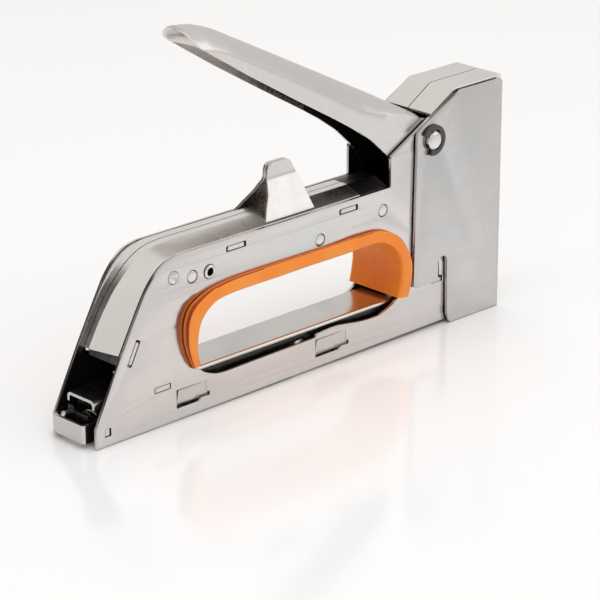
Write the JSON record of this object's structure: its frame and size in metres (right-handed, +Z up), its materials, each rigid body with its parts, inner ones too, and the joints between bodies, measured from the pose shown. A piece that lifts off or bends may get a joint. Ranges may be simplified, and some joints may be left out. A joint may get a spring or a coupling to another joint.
{
  "type": "staple gun",
  "caption": "All-metal hand tacker with squeeze lever, spring-driven hammer and blade, slide-out magazine and an orange finger grip.",
  "frame": {"origin": "middle of the bounding box at the base, on the mid-plane between the side plates", "axes": "+X towards the nose that drives the staple, +Y towards the left side plate, +Z up towards the lever"},
  "size_m": [0.1572, 0.024, 0.1057],
  "materials": {
    "plated_steel": "bright nickel plate over pressed sheet, faint mottling",
    "inner_steel": "plated folded sheet, satin",
    "pin_steel": "bright turned steel",
    "hardened_steel": "ground and hardened, satin",
    "spring_steel": "drawn wire, satin",
    "blackened_steel": "black phosphate, satin",
    "orange_plastic": "moulded, semi-gloss",
    "rubber_pad": "matt"
  },
  "bodies": {
    "body": {"side_plate_right": "plated_steel", "side_plate_left": "plated_steel", "spine_right": "plated_steel", "spine_left": "plated_steel", "head_shell_right": "plated_steel", "head_shell_left": "plated_steel", "front_cover": "plated_steel", "magazine_channel": "inner_steel", "top_spacer_front": "inner_steel", "top_spacer_rear": "inner_steel", "rear_spacer": "inner_steel", "nose_guide": "inner_steel", "absorber_bracket": "inner_steel", "spring_seat": "inner_steel", "front_rivet": "pin_steel", "rear_rivet": "pin_steel", "spine_rivet": "pin_steel", "latch_pin": "pin_steel", "hollow_rivet": "pin_steel", "lever_pin": "pin_steel", "main_spring": "spring_steel", "e_clip_right": "blackened_steel", "e_clip_left": "blackened_steel", "grip": "orange_plastic", "shock_absorber": "rubber_pad"},
    "lever": {"lever": "plated_steel"},
    "hammer": {"hammer": "hardened_steel", "driver_blade": "hardened_steel"},
    "latch": {"latch": "plated_steel"},
    "magazine": {"staple_rail": "inner_steel", "magazine_end_cap": "inner_steel", "spring_rod": "hardened_steel", "pusher_spring": "spring_steel"},
    "pusher": {"pusher": "inner_steel"},
    "catch": {"magazine_catch": "inner_steel"}
  },
  "joints": [
    {"name": "lever_pivot", "type": "hinge", "parent": "body", "child": "lever", "pos_m": [0.0484, 0, 0.0579], "axis": [0, -1, 0], "range_deg": [0, 22], "stiffness_Nm_per_rad": 1.2, "springref_deg": -8.59},
    {"name": "hammer_slide", "type": "slide", "parent": "body", "child": "hammer", "axis": [0, 0, 1], "range_m": [0, 0.0083], "deforming": ["main_spring"]},
    {"name": "latch_pivot", "type": "hinge", "parent": "body", "child": "latch", "pos_m": [0.0054, 0, 0.038], "axis": [0, 1, 0], "range_deg": [0, 10]},
    {"name": "magazine_slide", "type": "slide", "parent": "body", "child": "magazine", "axis": [-1, 0, 0], "range_m": [0, 0.09]},
    {"name": "pusher_slide", "type": "slide", "parent": "magazine", "child": "pusher", "axis": [-1, 0, 0], "range_m": [0, 0.105], "stiffness_N_per_m": 20, "springref_m": -0.03, "deforming": ["pusher_spring"]},
    {"name": "catch_press", "type": "slide", "parent": "magazine", "child": "catch", "axis": [1, 0, 0], "range_m": [0, 0.0014], "stiffness_N_per_m": 300, "springref_m": -0.001}
  ],
  "couplings": [
    {"joint": "hammer_slide", "follows": "lever_pivot", "m_per_rad": 0.0215}
  ]
}
